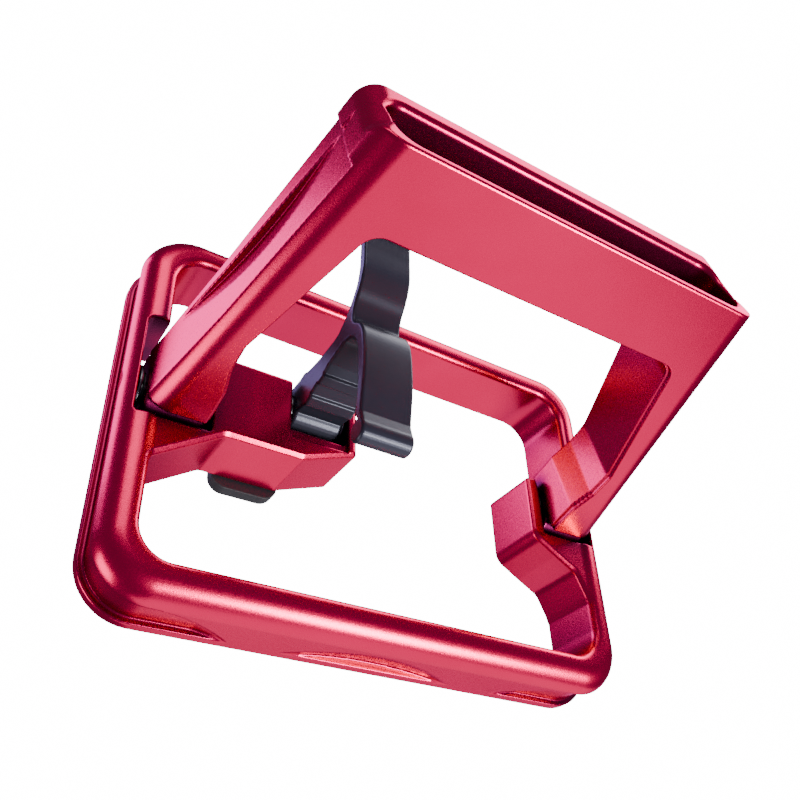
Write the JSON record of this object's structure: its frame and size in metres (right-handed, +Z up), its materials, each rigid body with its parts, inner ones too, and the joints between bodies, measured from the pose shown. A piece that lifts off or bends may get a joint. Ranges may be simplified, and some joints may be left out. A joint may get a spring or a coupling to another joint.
{
  "type": "phone handlebar mount",
  "caption": "Folding aluminium phone mount for a handlebar: a rectangular main frame, a swing frame hinged across it, and a sprung hook that grips the bar.",
  "frame": {"origin": "centre of the handlebar that the hook grips", "axes": "+X along the hinge and the handlebar, +Y out of the back of the main frame, +Z up the main frame; the swing frame and the hook stand out towards -Y"},
  "size_m": [0.1028, 0.0735, 0.0736],
  "materials": {
    "red_anodised": "bead-blasted, satin red anodised",
    "black_anodised": "satin black anodised",
    "steel": "turned stainless",
    "polymer": "bearing polymer",
    "rubber": "matte black"
  },
  "bodies": {
    "main": {"main_frame": "red_anodised", "hinge_pin_left": "steel", "hinge_pin_right": "steel", "thrust_washer_left": "steel", "thrust_washer_right": "steel", "friction_washer_left": "polymer", "friction_washer_right": "polymer", "hinge_plug_left": "black_anodised", "hinge_plug_right": "black_anodised", "hook_pin": "steel", "hook_washer_left": "steel", "hook_washer_right": "steel", "hook_spring": "steel", "rear_pad": "rubber", "rear_pad_screw_upper": "steel", "rear_pad_screw_lower": "steel"},
    "swing": {"swing_frame": "red_anodised", "hinge_bush_left": "polymer", "hinge_bush_right": "polymer"},
    "hook": {"bar_hook": "black_anodised", "hook_bush": "polymer"}
  },
  "joints": [
    {"name": "swing_hinge", "type": "hinge", "parent": "main", "child": "swing", "pos_m": [0.0156, 0.0162, 0.0055], "axis": [1, 0, 0], "range_deg": [-23, 2]},
    {"name": "hook_pivot", "type": "hinge", "parent": "main", "child": "hook", "pos_m": [0.0156, 0.0149, 0.0104], "axis": [1, 0, 0], "range_deg": [-20, 0], "stiffness_Nm_per_rad": 0.03, "springref_deg": 22.92}
  ]
}
